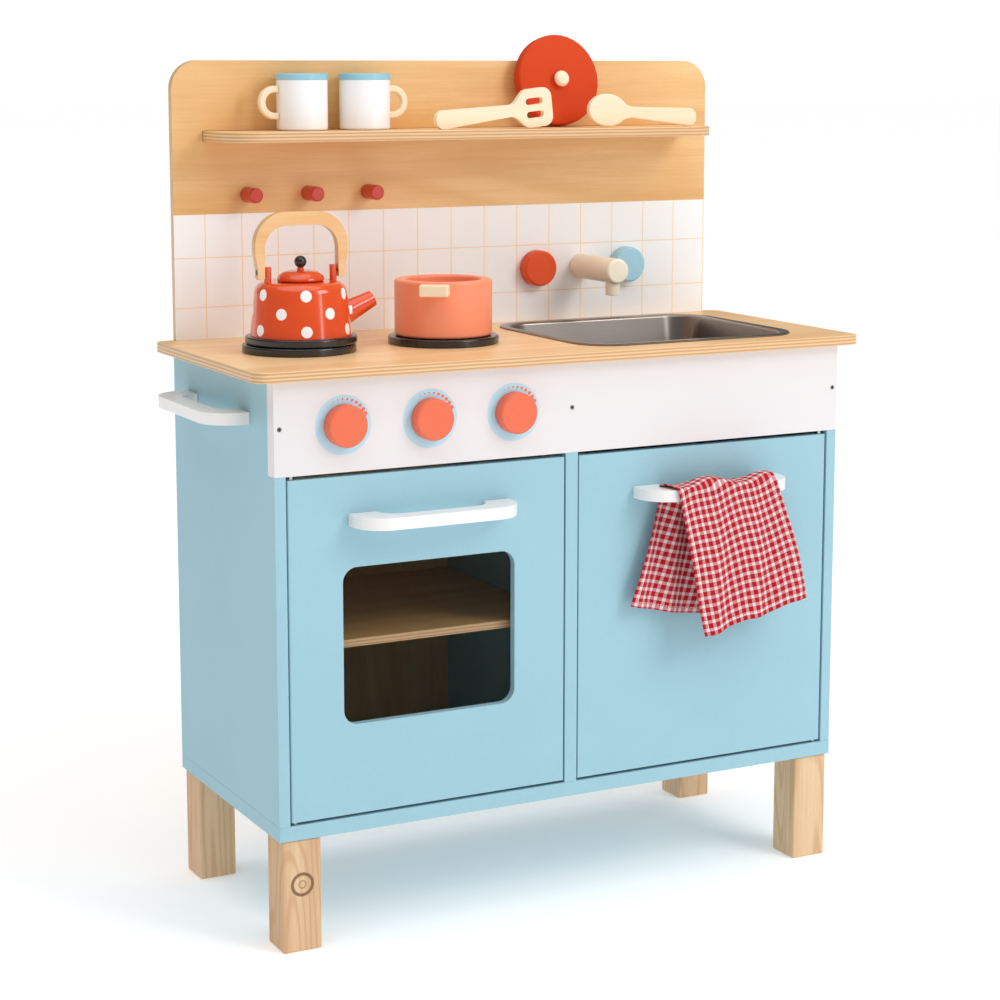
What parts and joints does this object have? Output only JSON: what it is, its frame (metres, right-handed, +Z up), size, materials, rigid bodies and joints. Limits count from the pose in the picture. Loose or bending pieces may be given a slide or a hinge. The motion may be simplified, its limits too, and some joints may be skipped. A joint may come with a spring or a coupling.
{
  "type": "toy kitchen",
  "caption": "Wooden toy kitchen with an oven, cupboard, sink, hotplates, dials, tap, tiled backboard and shelf, with kettle, pot, mugs, utensils and a gingham towel.",
  "frame": {"origin": "on the floor under the middle of the outer box", "axes": "+X to the right as a child faces the doors, +Y to the back, +Z up"},
  "size_m": [0.6172, 0.2812, 0.777],
  "materials": {
    "blue_paint": "satin pale blue paint",
    "white_paint": "satin white paint",
    "birch_plywood": "clear matt lacquer, dark glue lines on the edges",
    "pine": "clear matt lacquer",
    "beech": "sanded, clear matt lacquer",
    "coral_paint": "satin coral paint",
    "red_paint": "gloss red paint",
    "black_paint": "gloss black paint",
    "steel": "fine brushed",
    "clear_acrylic": "clear, polished",
    "cotton": "red and white gingham weave",
    "black_screws": "black oxide"
  },
  "bodies": {
    "cabinet": {"worktop": "birch_plywood", "left_side_panel": "blue_paint", "right_side_panel": "blue_paint", "bottom_board": "blue_paint", "centre_divider": "blue_paint", "fascia_panel": "white_paint", "back_panel": "birch_plywood", "oven_shelf": "birch_plywood", "backboard": "birch_plywood", "upper_shelf": "birch_plywood", "leg_front_left": "pine", "leg_front_right": "pine", "leg_back_left": "pine", "leg_back_right": "pine", "oven_door_catch": "white_paint", "cupboard_door_catch": "white_paint", "fascia_screw_left": "steel", "fascia_screw_middle": "steel", "fascia_screw_right": "steel", "side_handle": "white_paint", "hotplate_left": "black_paint", "hotplate_middle": "black_paint", "tap_spout": "beech", "peg_left": "red_paint", "peg_middle": "red_paint", "peg_right": "red_paint"},
    "oven_door_leaf": {"oven_door": "blue_paint", "oven_window_pane": "clear_acrylic", "oven_door_handle": "white_paint", "oven_hinge_pin_lower": "steel", "oven_hinge_pin_upper": "steel"},
    "cupboard_door_leaf": {"cupboard_door": "blue_paint", "cupboard_door_handle": "white_paint", "cupboard_hinge_pin_lower": "steel", "cupboard_hinge_pin_upper": "steel", "towel": "cotton"},
    "dial_left": {"dial_knob_1": "coral_paint"},
    "dial_middle": {"dial_knob_2": "coral_paint"},
    "dial_right": {"dial_knob_3": "coral_paint"},
    "hot_tap": {"tap_knob_hot": "red_paint"},
    "cold_tap": {"tap_knob_cold": "blue_paint"},
    "sink": {"sink_basin": "steel"},
    "kettle": {"kettle_base": "black_paint", "kettle_body": "red_paint", "kettle_screw_left": "black_screws", "kettle_screw_right": "black_screws"},
    "kettle_top": {"kettle_lid": "red_paint", "kettle_lid_knob": "black_paint"},
    "kettle_grip": {"kettle_handle": "birch_plywood"},
    "pot": {"pot_body": "coral_paint", "pot_handle_front": "beech", "pot_handle_back": "beech"},
    "pot_cover": {"pot_lid": "red_paint", "pot_lid_knob": "beech"},
    "left_mug": {"mug_left": "white_paint", "mug_left_handle": "beech"},
    "right_mug": {"mug_right": "white_paint", "mug_right_handle": "beech"},
    "spatula_piece": {"spatula": "beech"},
    "spoon_piece": {"spoon": "beech"}
  },
  "joints": [
    {"name": "oven_door_hinge", "type": "hinge", "parent": "cabinet", "child": "oven_door_leaf", "pos_m": [-0.25645, -0.0964, 0.2613], "axis": [0, 0, -1], "range_deg": [0, 100]},
    {"name": "cupboard_door_hinge", "type": "hinge", "parent": "cabinet", "child": "cupboard_door_leaf", "pos_m": [0.27355, -0.0964, 0.2613], "axis": [0, 0, 1], "range_deg": [0, 100]},
    {"name": "dial_left_turn", "type": "hinge", "parent": "cabinet", "child": "dial_left", "pos_m": [-0.21035, -0.1014, 0.4516], "axis": [0, 1, 0], "continuous": true},
    {"name": "dial_middle_turn", "type": "hinge", "parent": "cabinet", "child": "dial_middle", "pos_m": [-0.13035, -0.1014, 0.4516], "axis": [0, 1, 0], "continuous": true},
    {"name": "dial_right_turn", "type": "hinge", "parent": "cabinet", "child": "dial_right", "pos_m": [-0.05035, -0.1014, 0.4516], "axis": [0, 1, 0], "continuous": true},
    {"name": "hot_tap_turn", "type": "hinge", "parent": "cabinet", "child": "hot_tap", "pos_m": [0.09665, 0.1326, 0.5527], "axis": [0, 1, 0], "continuous": true},
    {"name": "cold_tap_turn", "type": "hinge", "parent": "cabinet", "child": "cold_tap", "pos_m": [0.19665, 0.1326, 0.5527], "axis": [0, 1, 0], "continuous": true},
    {"name": "sink_lift", "type": "slide", "parent": "cabinet", "child": "sink", "axis": [0, 0, 1], "range_m": [0, 0.024]},
    {"name": "kettle_lift", "type": "slide", "parent": "cabinet", "child": "kettle", "axis": [0, 0, 1], "range_m": [0, 0.15]},
    {"name": "kettle_lid_lift", "type": "slide", "parent": "kettle", "child": "kettle_top", "axis": [0, 0, 1], "range_m": [0, 0.024]},
    {"name": "kettle_handle_swing", "type": "hinge", "parent": "kettle", "child": "kettle_grip", "pos_m": [-0.19945, 0.0136, 0.5706], "axis": [1, 0, 0], "range_deg": [-80, 80]},
    {"name": "pot_lift", "type": "slide", "parent": "cabinet", "child": "pot", "axis": [0, 0, 1], "range_m": [0, 0.12]},
    {"name": "pot_lid_lift", "type": "slide", "parent": "cabinet", "child": "pot_cover", "axis": [0, 0, 1], "range_m": [0, 0.12]},
    {"name": "mug_left_lift", "type": "slide", "parent": "cabinet", "child": "left_mug", "axis": [0, 0, 1], "range_m": [0, 0.12]},
    {"name": "mug_right_lift", "type": "slide", "parent": "cabinet", "child": "right_mug", "axis": [0, 0, 1], "range_m": [0, 0.12]},
    {"name": "spatula_lift", "type": "slide", "parent": "cabinet", "child": "spatula_piece", "axis": [0, 0, 1], "range_m": [0, 0.12]},
    {"name": "spoon_lift", "type": "slide", "parent": "cabinet", "child": "spoon_piece", "axis": [0, 0, 1], "range_m": [0, 0.12]}
  ]
}
